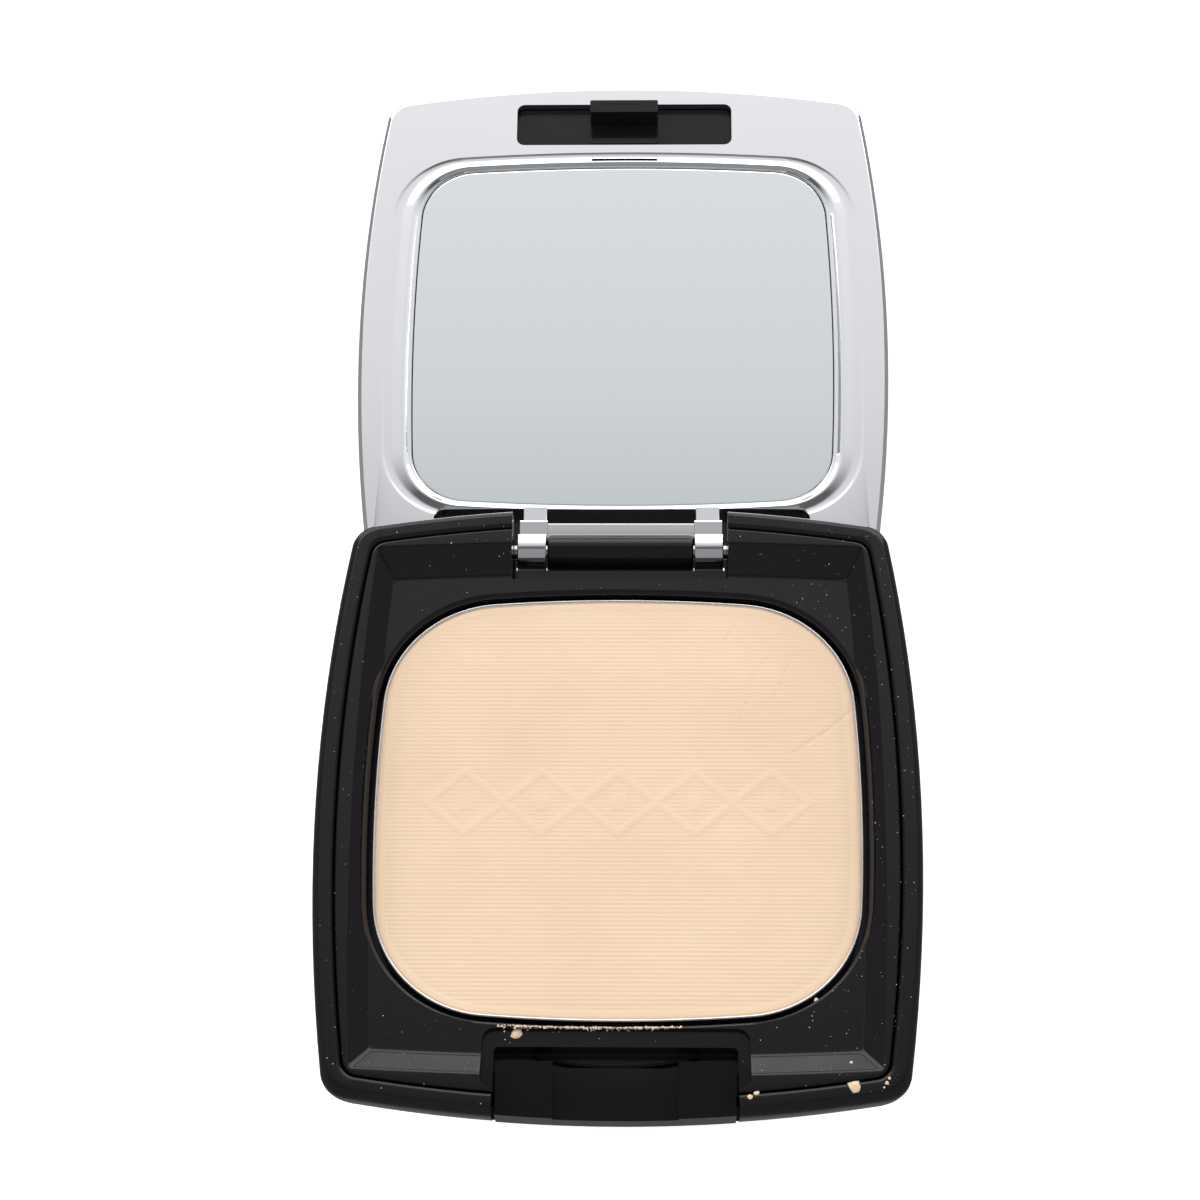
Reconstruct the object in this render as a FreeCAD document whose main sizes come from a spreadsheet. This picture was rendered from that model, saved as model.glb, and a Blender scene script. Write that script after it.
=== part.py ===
"""Pressed-powder compact: barrel-square base, push-button catch and mirrored lid.

Frame: millimetres, +Z up, origin at the centre of the base's flat bottom.
The hinge is at +Y and the push button at -Y. Lid pieces are drawn in the closed
position, and their Placement swings them open round the hinge axis.
"""
import FreeCAD, Part
import math
import os
import re
import Sketcher

V = FreeCAD.Vector
doc = FreeCAD.newDocument("powder_compact")
volumes = {}

# ---------------------------------------------------------------- driving dimensions
SIZES = {
    # plan outline of the base, measured over the bulged sides
    "body_width": 67.6,
    "body_length": 73.6,
    "side_radius": 212.0,
    "end_radius": 174.0,
    "body_corner": 3.2,
    # base shell
    "rim_height": 15.6,
    "rim_band": 1.5,
    "rim_width": 2.35,
    "rim_crown": 0.9,
    "belly_inset": 14.0,
    "belly_corner": 9.0,
    "shell_wall": 1.4,
    "overshoot": 1.0,
    # deck with its sloped frame and well
    "deck_gap": 0.15,
    "deck_drop": 0.1,
    "deck_thick": 3.1,
    "frame_width": 59.4,
    "frame_length": 64.2,
    "frame_corner": 0.6,
    "frame_side_radius": 380.0,
    "frame_end_radius": 520.0,
    "frame_depth": 1.6,
    "floor_width": 54.4,
    "floor_length": 57.4,
    "floor_shift": 0.6,
    "well_gap": 0.5,
    "well_wall": 1.2,
    "tub_margin": 1.7,
    # powder pan
    "pan_width": 54.8,
    "pan_length": 51.0,
    "pan_corner": 13.5,
    "pan_side_radius": 190.0,
    "pan_drop": 2.2,
    "pan_height": 3.2,
    "pan_wall": 0.35,
    "pan_lip": 0.12,
    "glue_thick": 0.2,
    "glue_width": 38.0,
    "glue_length": 34.0,
    # hinge
    "hinge_setback": 3.4,
    "hinge_depth": 5.4,
    "pin_radius": 0.8,
    "pin_bore": 0.85,
    "pin_half": 14.6,
    "pin_end_gap": 0.2,
    "cheek_half": 15.4,
    "cheek_front": 30.8,
    "cheek_back": 33.9,
    "cheek_depth": 3.3,
    "barrel_radius": 2.2,
    "barrel_half": 8.4,
    "apron_half": 12.4,
    "apron_back": 30.8,
    "slot_half": 12.65,
    "slot_front": 27.8,
    "shell_slot_front": 27.0,
    "slot_depth": 11.1,
    "knuckle_inner": 8.8,
    "knuckle_outer": 12.2,
    "pad_front": 25.0,
    "pad_depth": 0.6,
    "rib_front": 28.2,
    "rib_depth": 3.6,
    "web_front": 27.5,
    "web_back": 29.3,
    "web_depth": 1.1,
    "relief_radius": 6.1,
    "relief_start": 12.45,
    # push button
    "notch_half": 13.1,
    "notch_depth": 4.6,
    "notch_back": 33.3,
    "tray_front": 32.9,
    "recess_back": 28.3,
    "housing_half": 14.4,
    "housing_back": 26.4,
    "housing_depth": 2.2,
    "button_half": 12.8,
    "button_back": 30.2,
    "button_drop": 1.0,
    "button_inset": 0.45,
    "button_floor": 0.85,
    "button_gap": 0.15,
    "thumb_half": 6.7,
    "thumb_front": 33.4,
    "thumb_drop": 0.6,
    "spring_half": 9.0,
    "spring_bow": 1.35,
    "spring_clear": 0.05,
    "spring_thick": 0.3,
    "spring_high": 0.6,
    # lid
    "lid_inset": 0.45,
    "lid_crown": 0.54,
    "parting_gap": 0.2,
    "plate_thick": 2.0,
    "cover_height": 3.0,
    "cover_inset": 9.0,
    "cover_edge": 2.1,
    "cover_hollow": 1.2,
    "mirror_width": 52.9,
    "mirror_length": 48.5,
    "mirror_corner": 7.0,
    "mirror_side_radius": 300.0,
    "mirror_shift": 0.4,
    "mirror_thick": 1.2,
    "mirror_recess": 0.3,
    "mirror_fit": 0.05,
    "tape_thick": 0.1,
    "bezel_width": 60.4,
    "bezel_length": 52.8,
    "bezel_corner": 9.5,
    "bezel_depth": 0.3,
    "bezel_land": 1.2,
    "catch_half": 14.0,
    "catch_front": 33.4,
    "catch_back": 27.2,
    "rear_window_half": 23.0,
    "rear_window_front": 25.1,
    "rear_window_back": 33.0,
    "catch_bar": 0.8,
    "bar_gap": 0.1,
    "hook_half": 4.4,
    "hook_front": 31.7,
    "hook_back": 30.4,
    "hook_reach": 2.6,
    "hook_nose": 0.5,
    "hook_root": 1.6,
    "open_angle": 176.0,
}

sheet = doc.addObject("Spreadsheet::Sheet", "sizes")
for row, (word, number) in enumerate(SIZES.items(), start=1):
    sheet.set(f"A{row}", word)
    sheet.set(f"B{row}", str(number))
    sheet.setAlias(f"B{row}", word)
doc.recompute()


def value(text):
    """The number given by a sum of products of the sheet's words, such as a-2*b."""
    total = 0.0
    for sign, term in re.findall(r"([+-]?)([^+-]+)", text):
        product = -1.0 if sign == "-" else 1.0
        for factor in term.split("*"):
            product *= float(sheet.get(factor)) if factor in SIZES else float(factor)
        total += product
    return total


def bound(text):
    """The same sum as an expression that reads the sheet."""
    return re.sub(r"[a-z_]+", lambda match: "sizes." + match.group(0), text)


# ---------------------------------------------------------------- heights used often
AXIS_Y = "0.5*body_length-hinge_setback"
AXIS_Z = "rim_height-hinge_depth"
DECK_TOP = "rim_height-deck_drop"
DECK_UNDER = "rim_height-deck_drop-deck_thick"
FRAME_FLOOR = "rim_height-deck_drop-frame_depth"
WELL_FLOOR = "rim_height-pan_drop-pan_height-glue_thick"
PAN_UNDER = "rim_height-pan_drop-pan_height"
NOTCH_FLOOR = "rim_height-notch_depth"
PLATE_UNDER = "rim_height+parting_gap"
PLATE_TOP = "rim_height+parting_gap+plate_thick"
BAND_UNDER = "rim_height-rim_band"

# ---------------------------------------------------------------- profiles
# shares of the belly's height that get an outline
BELLY_SHARES = (0.0, 0.1, 0.25, 0.45, 0.65, 0.85, 1.0)
# (share of the belly's height, wall there in shell walls)
HOLLOW_WALLS = [(0.1, 1), (0.25, 1), (0.45, 1), (0.65, 1), (0.8, 1.9), (0.88, 2)]
# (share of the cover's height, share of its inset)
DOME_PROFILE = [(0.0, 0.0), (0.3, 0.02), (0.55, 0.1), (0.78, 0.32), (0.93, 0.64), (1.0, 1.0)]


# ---------------------------------------------------------------- bodies and sketches
def new_body(name):
    body = doc.addObject("PartDesign::Body", name)
    body.Label = name
    return body


def new_sketch(body, name, plane="XY_Plane", lift="", shift_back="", shift_forward=""):
    """A sketch on one of the body's own origin planes, lifted along its normal."""
    sketch = body.newObject("Sketcher::SketchObject", name)
    origin_planes = {item.Role: item for item in body.Origin.OriginFeatures}
    sketch.AttachmentSupport = [(origin_planes[plane], "")]
    sketch.MapMode = "FlatFace"
    if lift:
        sketch.setExpression("AttachmentOffset.Base.z", bound(lift))
    if shift_back:
        sketch.setExpression("AttachmentOffset.Base.y", bound(shift_back))
    if shift_forward:
        sketch.setExpression("AttachmentOffset.Base.y", "-" + bound(shift_forward))
    return sketch


def bind(sketch, kind, places, text):
    """A dimension whose value is an expression over the sheet."""
    number = sketch.addConstraint(Sketcher.Constraint(kind, *places, value(text)))
    name = f"{kind}{number}"
    sketch.renameConstraint(number, name)
    sketch.setExpression(f"Constraints.{name}", bound(text))


def place_point(sketch, geometry, point, x_text, y_text):
    """Fixes a point by its distances from the origin, whichever side it is on."""
    for kind, axis, text in (("DistanceX", -2, x_text), ("DistanceY", -1, y_text)):
        if value(text) == 0:
            sketch.addConstraint(Sketcher.Constraint("PointOnObject", geometry, point, axis))
        elif value(text) > 0:
            bind(sketch, kind, (-1, 1, geometry, point), text)
        else:
            flipped = "".join(sign + term for sign, term in flipped_terms(text))
            bind(sketch, kind, (geometry, point, -1, 1), flipped.lstrip("+"))


def corner_centre(side_x, end_y, side_reach, end_reach):
    """Where a corner arc is centred, from the centres of the two big arcs it joins."""
    gap = math.hypot(side_x, end_y)
    along = (side_reach**2 - end_reach**2 + gap**2) / (2 * gap)
    across = math.sqrt(side_reach**2 - along**2)
    along_x, along_y = -side_x / gap, end_y / gap
    x = side_x + along * along_x - across * along_y
    y = along * along_y + across * along_x
    if x > 0 and y > 0:
        return x, y
    return side_x + along * along_x + across * along_y, along * along_y - across * along_x


def barrel(sketch, width, length, side, end, corner):
    """Eight tangent arcs: bulged sides and ends with rounded corners."""
    side_r, end_r, corner_r = value(side), value(end), value(corner)
    side_x = value(width) / 2 - side_r
    end_y = value(length) / 2 - end_r
    x, y = corner_centre(side_x, end_y, side_r - corner_r, end_r - corner_r)
    a = math.atan2(y, x - side_x)
    b = math.atan2(y - end_y, x)
    turn = math.pi
    arcs = [
        (side_x, 0, side_r, -a, a),
        (x, y, corner_r, a, b),
        (0, end_y, end_r, b, turn - b),
        (-x, y, corner_r, turn - b, turn - a),
        (-side_x, 0, side_r, turn - a, turn + a),
        (-x, -y, corner_r, turn + a, turn + b),
        (0, -end_y, end_r, turn + b, 2 * turn - b),
        (x, -y, corner_r, 2 * turn - b, 2 * turn - a),
    ]
    for centre_x, centre_y, radius, start, stop in arcs:
        circle = Part.Circle(V(centre_x, centre_y, 0), V(0, 0, 1), radius)
        sketch.addGeometry(Part.ArcOfCircle(circle, start, stop), False)
    links = [Sketcher.Constraint("Tangent", i, 2, (i + 1) % 8, 1) for i in range(8)]
    links += [Sketcher.Constraint("PointOnObject", i, 3, -1) for i in (0, 4)]
    links += [Sketcher.Constraint("PointOnObject", i, 3, -2) for i in (2, 6)]
    sketch.addConstraint(links)
    for index, text in ((0, side), (4, side), (2, end), (6, end)):
        bind(sketch, "Radius", (index,), text)
    for index in (1, 3, 5, 7):
        bind(sketch, "Radius", (index,), corner)
    side_text = offset_text(side, width)
    end_text = offset_text(end, length)
    bind(sketch, "DistanceX", (0, 3, -1, 1), side_text)
    bind(sketch, "DistanceX", (-1, 1, 4, 3), side_text)
    bind(sketch, "DistanceY", (2, 3, -1, 1), end_text)
    bind(sketch, "DistanceY", (-1, 1, 6, 3), end_text)
    return sketch


def offset_text(radius, span):
    """radius minus half of span, written out term by term."""
    halves = re.findall(r"([+-]?)([^+-]+)", span)
    flipped = ["+" if sign == "-" else "-" for sign, _ in halves]
    return radius + "".join(f"{sign}0.5*{term}" for sign, (_, term) in zip(flipped, halves))


def body_outline(sketch, inset="", corner="body_corner"):
    """The base's outline, moved in by an inset."""
    double = "" if not inset else "".join(f"{s}2*{t}" for s, t in flipped_terms(inset))
    single = "" if not inset else "".join(f"{s}{t}" for s, t in flipped_terms(inset))
    return barrel(
        sketch,
        "body_width" + double,
        "body_length" + double,
        "side_radius" + single,
        "end_radius" + single,
        corner,
    )


def flipped_terms(text):
    """The terms of a sum with their signs turned round."""
    terms = re.findall(r"([+-]?)([^+-]+)", text)
    return [("+" if sign == "-" else "-", term) for sign, term in terms]


def pan_outline(sketch, grow="0*pan_wall"):
    """The powder pan's outline, moved out by grow (or in, where grow is negative)."""
    sign = "" if grow.startswith("-") else "+"
    plain = grow.lstrip("-")
    doubled = f"-2*{plain}" if grow.startswith("-") else f"+2*{plain}"
    return barrel(
        sketch,
        "pan_width" + doubled,
        "pan_length" + doubled,
        "pan_side_radius" + sign + grow,
        "pan_side_radius" + sign + grow,
        "pan_corner" + sign + grow,
    )


def box_outline(sketch, left, right, low, high):
    """A rectangle whose four sides are expressions."""
    corners = [(left, low), (right, low), (right, high), (left, high)]
    points = [V(value(x), value(y), 0) for x, y in corners]
    first = sketch.GeometryCount
    for index in range(4):
        sketch.addGeometry(Part.LineSegment(points[index], points[(index + 1) % 4]), False)
    rules = [
        Sketcher.Constraint("Coincident", first + i, 2, first + (i + 1) % 4, 1)
        for i in range(4)
    ]
    rules += [Sketcher.Constraint("Horizontal", first + i) for i in (0, 2)]
    rules += [Sketcher.Constraint("Vertical", first + i) for i in (1, 3)]
    sketch.addConstraint(rules)
    place_point(sketch, first, 1, left, low)
    place_point(sketch, first + 1, 2, right, high)
    return sketch


def circle_outline(sketch, x_text, y_text, radius):
    circle = Part.Circle(V(value(x_text), value(y_text), 0), V(0, 0, 1), value(radius))
    index = sketch.addGeometry(circle, False)
    bind(sketch, "Radius", (index,), radius)
    place_point(sketch, index, 3, x_text, y_text)
    return sketch


# ---------------------------------------------------------------- features
def finish_feature(body, feature, grows):
    """Recomputes, and stops if the feature changed the volume the wrong way."""
    before = volumes.get(body.Name, 0.0)
    doc.recompute()
    if feature.Shape.isNull():
        raise RuntimeError(f"{body.Name}: {feature.Name} made no shape")
    after = feature.Shape.Volume
    if (after <= before) if grows else (after >= before):
        raise RuntimeError(f"{feature.Name} left the volume at {after:.2f} from {before:.2f}")
    volumes[body.Name] = after
    return feature


def extrude(body, kind, sketch, length, downward=False, symmetric=False):
    feature = body.newObject(f"PartDesign::{kind}", f"{sketch.Name}_{kind.lower()}")
    feature.Profile = sketch
    feature.setExpression("Length", bound(length))
    # a pad follows the sketch's normal and a pocket goes against it
    feature.Reversed = downward if kind == "Pad" else not downward
    if symmetric:
        feature.SideType = "Symmetric"
        feature.Reversed = False
    return finish_feature(body, feature, kind == "Pad")


def pad(body, sketch, length, downward=False, symmetric=False):
    return extrude(body, "Pad", sketch, length, downward, symmetric)


def pocket(body, sketch, length, downward=True, symmetric=False):
    return extrude(body, "Pocket", sketch, length, downward, symmetric)


def loft(body, sketches, cut=False, ruled=False):
    kind = "SubtractiveLoft" if cut else "AdditiveLoft"
    feature = body.newObject(f"PartDesign::{kind}", f"{sketches[0].Name}_loft")
    feature.Profile = sketches[0]
    feature.Sections = sketches[1:]
    feature.Ruled = ruled
    return finish_feature(body, feature, not cut)


def fillet_level(body, level, radius, chosen=lambda edge: True):
    """Rounds the edges that lie wholly at one height."""
    base = body.Tip
    names = []
    for index, edge in enumerate(base.Shape.Edges, start=1):
        box = edge.BoundBox
        flat = abs(box.ZMin - level) < 0.01 and abs(box.ZMax - level) < 0.01
        if flat and chosen(edge):
            names.append(f"Edge{index}")
    feature = body.newObject("PartDesign::Fillet", f"{body.Name}_round{len(body.Group)}")
    feature.Base = (base, names)
    feature.setExpression("Radius", bound(radius))
    doc.recompute()
    return feature


def swing_open(body):
    """Turns a lid piece from closed to the open rest position, round the hinge axis."""
    axis_point = V(0, value(AXIS_Y), value(AXIS_Z))
    turn = FreeCAD.Rotation(V(1, 0, 0), -value("open_angle"))
    body.Placement = FreeCAD.Placement(V(0, 0, 0), turn, axis_point)


# ---------------------------------------------------------------- base shell
def belly_section(body, name, share, wall=""):
    """One level of the pillow-shaped belly; share runs from 0 (table) to 1 (rim band)."""
    square = round((1 - share) ** 2, 6)
    rest = round(1 - share, 6)
    sketch = new_sketch(body, name, lift=f"{share}*rim_height-{share}*rim_band")
    inset = f"{square}*belly_inset" + wall
    return body_outline(sketch, inset, f"{share}*body_corner+{rest}*belly_corner")


def base_shell():
    body = new_body("base_shell")
    levels = [belly_section(body, f"belly{i}", s) for i, s in enumerate(BELLY_SHARES)]
    loft(body, levels)
    band = body_outline(new_sketch(body, "band", lift=BAND_UNDER))
    pad(body, band, "rim_band")
    fillet_level(body, value("rim_height"), "rim_crown")
    walls = [
        belly_section(body, f"hollow{i}", share, f"+{thick}*shell_wall")
        for i, (share, thick) in enumerate(HOLLOW_WALLS)
    ]
    loft(body, walls, cut=True, ruled=True)
    mouth = body_outline(new_sketch(body, "mouth", lift="rim_height"), "rim_width")
    pocket(body, mouth, "deck_drop+deck_thick")
    cheeks = new_sketch(body, "cheeks", lift=f"{DECK_UNDER}-cheek_depth")
    box_outline(cheeks, "slot_half", "cheek_half", "cheek_front", "cheek_back")
    box_outline(cheeks, "-cheek_half", "-slot_half", "cheek_front", "cheek_back")
    pad(body, cheeks, "cheek_depth")
    slot = new_sketch(body, "slot", lift="rim_height+overshoot")
    rear = "0.5*body_length+overshoot"
    box_outline(slot, "-slot_half", "slot_half", "shell_slot_front", rear)
    pocket(body, slot, "slot_depth+overshoot")
    notch = new_sketch(body, "notch", lift="rim_height+overshoot")
    front = "-0.5*body_length-overshoot"
    box_outline(notch, "-notch_half", "notch_half", front, "-tray_front")
    pocket(body, notch, "notch_depth+overshoot")
    bore = new_sketch(body, "bore", plane="YZ_Plane")
    circle_outline(bore, AXIS_Y, AXIS_Z, "pin_radius")
    pocket(body, bore, "2*pin_half", symmetric=True)
    return body


# ---------------------------------------------------------------- deck
def deck():
    body = new_body("deck")
    plate = body_outline(new_sketch(body, "plate", lift=DECK_UNDER), "rim_width+deck_gap")
    pad(body, plate, "deck_thick")
    tub_rim = new_sketch(body, "tub_rim", lift=f"{WELL_FLOOR}-well_wall")
    pan_outline(tub_rim, "tub_margin")
    pad(body, tub_rim, "pan_height+pan_drop-deck_thick+glue_thick-deck_drop+well_wall")
    catch_box = new_sketch(body, "catch_box", lift=f"{NOTCH_FLOOR}-well_wall")
    left, right = "-housing_half-well_wall", "housing_half+well_wall"
    box_outline(catch_box, left, right, "-tray_front", "-housing_back")
    pad(body, catch_box, "notch_depth-deck_drop-deck_thick+well_wall")
    rim = barrel(
        new_sketch(body, "frame_rim", lift=DECK_TOP),
        "frame_width",
        "frame_length",
        "frame_side_radius",
        "frame_end_radius",
        "frame_corner",
    )
    floor = barrel(
        new_sketch(body, "frame_floor", lift=FRAME_FLOOR, shift_forward="floor_shift"),
        "floor_width",
        "floor_length",
        "frame_side_radius",
        "frame_end_radius",
        "frame_corner",
    )
    loft(body, [rim, floor], cut=True, ruled=True)
    well = pan_outline(new_sketch(body, "well", lift=DECK_TOP), "well_gap")
    pocket(body, well, "pan_drop+pan_height+glue_thick-deck_drop")
    housing = new_sketch(body, "housing", lift="rim_height")
    box_outline(housing, "-housing_half", "housing_half", "-notch_back", "-housing_back")
    pocket(body, housing, "housing_depth")
    recess = new_sketch(body, "recess", lift="rim_height")
    box_outline(recess, "-notch_half", "notch_half", "-0.5*body_length", "-recess_back")
    pocket(body, recess, "notch_depth")
    slot = new_sketch(body, "hinge_slot", lift="rim_height")
    box_outline(slot, "-slot_half", "slot_half", "slot_front", "0.5*body_length")
    pocket(body, slot, "rim_height")
    web = new_sketch(body, "barrel_web", lift=f"{AXIS_Z}-barrel_radius")
    box_outline(web, "-barrel_half", "barrel_half", "slot_front-well_wall", AXIS_Y)
    pad(body, web, "barrel_radius")
    apron = new_sketch(body, "slot_apron", lift=f"{AXIS_Z}-barrel_radius")
    box_outline(apron, "-apron_half", "apron_half", "slot_front-well_wall", "apron_back")
    pad(body, apron, "barrel_radius")
    roll = new_sketch(body, "barrel", plane="YZ_Plane")
    circle_outline(roll, AXIS_Y, AXIS_Z, "barrel_radius")
    pad(body, roll, "2*barrel_half", symmetric=True)
    bore = new_sketch(body, "bore", plane="YZ_Plane")
    circle_outline(bore, AXIS_Y, AXIS_Z, "pin_radius")
    pocket(body, bore, "2*pin_half", symmetric=True)
    return body


# ---------------------------------------------------------------- powder and its pan
def powder_pan():
    body = new_body("powder_pan")
    pad(body, pan_outline(new_sketch(body, "pan", lift=PAN_UNDER)), "pan_height")
    inside = new_sketch(body, "inside", lift="rim_height-pan_drop")
    pocket(body, pan_outline(inside, "-pan_wall"), "pan_height-pan_wall")
    return body


def pressed_powder():
    body = new_body("pressed_powder")
    cake = new_sketch(body, "cake", lift=f"{PAN_UNDER}+pan_wall")
    pad(body, pan_outline(cake, "-pan_wall"), "pan_height-pan_wall-pan_lip")
    return body


def pan_glue():
    body = new_body("pan_glue")
    patch = new_sketch(body, "patch", lift=WELL_FLOOR)
    box_outline(patch, "-0.5*glue_width", "0.5*glue_width", "-0.5*glue_length", "0.5*glue_length")
    pad(body, patch, "glue_thick")
    return body


# ---------------------------------------------------------------- push button
def push_button():
    body = new_body("push_button")
    radius = "end_radius-button_inset"
    centre = "end_radius-0.5*body_length"
    sketch = new_sketch(body, "outline", lift=f"{NOTCH_FLOOR}+button_gap")
    half, back = value("button_half"), -value("button_back")
    drop = math.sqrt(value(radius) ** 2 - half**2)
    front = value(centre) - drop
    swing = math.atan2(half, drop)
    circle = Part.Circle(V(0, value(centre), 0), V(0, 0, 1), value(radius))
    down = -math.pi / 2
    sketch.addGeometry(Part.ArcOfCircle(circle, down - swing, down + swing), False)
    sketch.addGeometry(Part.LineSegment(V(half, front, 0), V(half, back, 0)), False)
    sketch.addGeometry(Part.LineSegment(V(half, back, 0), V(-half, back, 0)), False)
    sketch.addGeometry(Part.LineSegment(V(-half, back, 0), V(-half, front, 0)), False)
    sketch.addConstraint([
        Sketcher.Constraint("Coincident", 0, 2, 1, 1),
        Sketcher.Constraint("Coincident", 1, 2, 2, 1),
        Sketcher.Constraint("Coincident", 2, 2, 3, 1),
        Sketcher.Constraint("Coincident", 3, 2, 0, 1),
        Sketcher.Constraint("Vertical", 1),
        Sketcher.Constraint("PointOnObject", 0, 3, -2),
        Sketcher.Constraint("Symmetric", 1, 2, 2, 2, -2),
        Sketcher.Constraint("Vertical", 3),
    ])
    bind(sketch, "Radius", (0,), radius)
    bind(sketch, "DistanceY", (-1, 1, 0, 3), centre)
    bind(sketch, "DistanceX", (-1, 1, 1, 2), "button_half")
    bind(sketch, "DistanceY", (1, 2, -1, 1), "button_back")
    pad(body, sketch, "notch_depth-button_gap-button_drop")
    top = "rim_height-button_drop"
    lowered = new_sketch(body, "lowered", lift=top)
    box_outline(lowered, "-thumb_half", "thumb_half", "-0.5*body_length", "-button_back+overshoot")
    pocket(body, lowered, "thumb_drop")
    thumb = new_sketch(body, "thumb", lift=top)
    box_outline(thumb, "-thumb_half", "thumb_half", "-thumb_front", "-button_back+overshoot")
    pocket(body, thumb, "notch_depth-button_gap-button_drop-button_floor")
    return body


def button_spring():
    """A bowed leaf between the button's back and the wall behind it."""
    body = new_body("button_spring")
    half, bow = value("spring_half"), value("spring_bow")
    radius = (half**2 + bow**2) / (2 * bow)
    thick = value("spring_thick")
    apex = value("spring_clear") - value("button_back")
    centre_y = apex + radius
    swing = math.asin(half / radius)
    down = -math.pi / 2
    outer_circle = Part.Circle(V(0, centre_y, 0), V(0, 0, 1), radius)
    outer = Part.ArcOfCircle(outer_circle, down - swing, down + swing)
    inner_circle = Part.Circle(V(0, centre_y, 0), V(0, 0, 1), radius - thick)
    inner = Part.ArcOfCircle(inner_circle, down - swing, down + swing)
    sketch = new_sketch(body, "leaf", lift=f"{NOTCH_FLOOR}+button_gap")
    sketch.addGeometry(outer, False)
    sketch.addGeometry(Part.LineSegment(outer.EndPoint, inner.EndPoint), False)
    sketch.addGeometry(inner, False)
    sketch.addGeometry(Part.LineSegment(inner.StartPoint, outer.StartPoint), False)
    sketch.addConstraint([
        Sketcher.Constraint("Coincident", 0, 2, 1, 1),
        Sketcher.Constraint("Coincident", 1, 2, 2, 2),
        Sketcher.Constraint("Coincident", 2, 1, 3, 1),
        Sketcher.Constraint("Coincident", 3, 2, 0, 1),
        Sketcher.Constraint("Coincident", 0, 3, 2, 3),
    ])
    pad(body, sketch, "spring_high")
    return body


# ---------------------------------------------------------------- hinge pin
def hinge_pin():
    body = new_body("hinge_pin")
    rod = new_sketch(body, "rod", plane="YZ_Plane")
    circle_outline(rod, AXIS_Y, AXIS_Z, "pin_radius")
    pad(body, rod, "2*pin_half-pin_end_gap", symmetric=True)
    return body


# ---------------------------------------------------------------- lid
def mirror_outline(sketch, grow="0*mirror_fit", corner="mirror_corner"):
    doubled = f"-2*{grow[1:]}" if grow.startswith("-") else f"+2*{grow}"
    return barrel(
        sketch,
        "mirror_width" + doubled,
        "mirror_length" + doubled,
        "mirror_side_radius",
        "mirror_side_radius",
        corner,
    )


def both_knuckles(sketch, low, high):
    """The same rectangle on the left and on the right knuckle."""
    box_outline(sketch, "knuckle_inner", "knuckle_outer", low, high)
    box_outline(sketch, "-knuckle_outer", "-knuckle_inner", low, high)
    return sketch


def lid_frame():
    body = new_body("lid_frame")
    plate = body_outline(new_sketch(body, "plate", lift=PLATE_UNDER), "lid_inset")
    pad(body, plate, "plate_thick")
    fillet_level(body, value(PLATE_UNDER), "lid_crown")
    shift = "mirror_shift"
    outer = barrel(
        new_sketch(body, "bezel_outer", lift=PLATE_UNDER, shift_back=shift),
        "bezel_width",
        "bezel_length",
        "mirror_side_radius",
        "mirror_side_radius",
        "bezel_corner",
    )
    land = new_sketch(body, "bezel_inner", lift=f"{PLATE_UNDER}+bezel_depth", shift_back=shift)
    mirror_outline(land, "bezel_land", "mirror_corner+bezel_land")
    loft(body, [outer, land], cut=True, ruled=True)
    seat = mirror_outline(new_sketch(body, "seat", lift=PLATE_UNDER, shift_back=shift))
    pocket(body, seat, "mirror_recess+mirror_thick+tape_thick", downward=False)
    window = new_sketch(body, "window", lift=PLATE_UNDER)
    box_outline(window, "-catch_half", "catch_half", "-catch_front", "-catch_back")
    pocket(body, window, "plate_thick", downward=False)
    rear_windows = [
        ("rear_left", "-rear_window_half", "-knuckle_outer"),
        ("rear_middle", "-knuckle_inner", "knuckle_inner"),
        ("rear_right", "knuckle_outer", "rear_window_half"),
    ]
    for name, left, right in rear_windows:
        opening = new_sketch(body, name, lift=PLATE_UNDER)
        box_outline(opening, left, right, "rear_window_front", "rear_window_back")
        pocket(body, opening, "plate_thick", downward=False)
    back = f"{AXIS_Y}+barrel_radius"
    front = f"{AXIS_Y}-barrel_radius"
    steps = [
        ("pads", "pad_front", "rib_front", "pad_depth"),
        ("ribs", "rib_front", front, "rib_depth"),
        ("arms", front, back, "hinge_depth+parting_gap"),
    ]
    for name, low, high, deep in steps:
        step = both_knuckles(new_sketch(body, name, lift=PLATE_UNDER), low, high)
        pad(body, step, deep, downward=True)
    web = new_sketch(body, "web", lift=PLATE_UNDER)
    box_outline(web, "-knuckle_inner", "knuckle_inner", "web_front", "web_back")
    pad(body, web, "web_depth", downward=True)
    for name, lift in (("curl_right", "knuckle_inner"), ("curl_left", "-knuckle_outer")):
        curl = new_sketch(body, name, plane="YZ_Plane", lift=lift)
        circle_outline(curl, AXIS_Y, AXIS_Z, "barrel_radius")
        pad(body, curl, "knuckle_outer-knuckle_inner")
    bore = new_sketch(body, "bore", plane="YZ_Plane")
    circle_outline(bore, AXIS_Y, AXIS_Z, "pin_bore")
    pocket(body, bore, "2*pin_half", symmetric=True)
    for name, lift in (("relief_right", "relief_start"), ("relief_left", "-body_width")):
        relief = new_sketch(body, name, plane="YZ_Plane", lift=lift)
        circle_outline(relief, AXIS_Y, AXIS_Z, "relief_radius")
        pocket(body, relief, "body_width-relief_start", downward=False)
    swing_open(body)
    return body


def lid_cover():
    body = new_body("lid_cover")
    levels = []
    for index, (share, inset) in enumerate(DOME_PROFILE):
        lift = f"{PLATE_TOP}+{share}*cover_height"
        sketch = new_sketch(body, f"dome{index}", lift=lift)
        text = f"lid_inset+{inset}*cover_inset"
        levels.append(body_outline(sketch, text, f"body_corner+{inset}*belly_corner"))
    loft(body, levels)
    hollow = new_sketch(body, "hollow", lift=PLATE_TOP)
    body_outline(hollow, "lid_inset+cover_edge")
    pocket(body, hollow, "cover_hollow", downward=False)
    swing_open(body)
    return body


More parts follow.
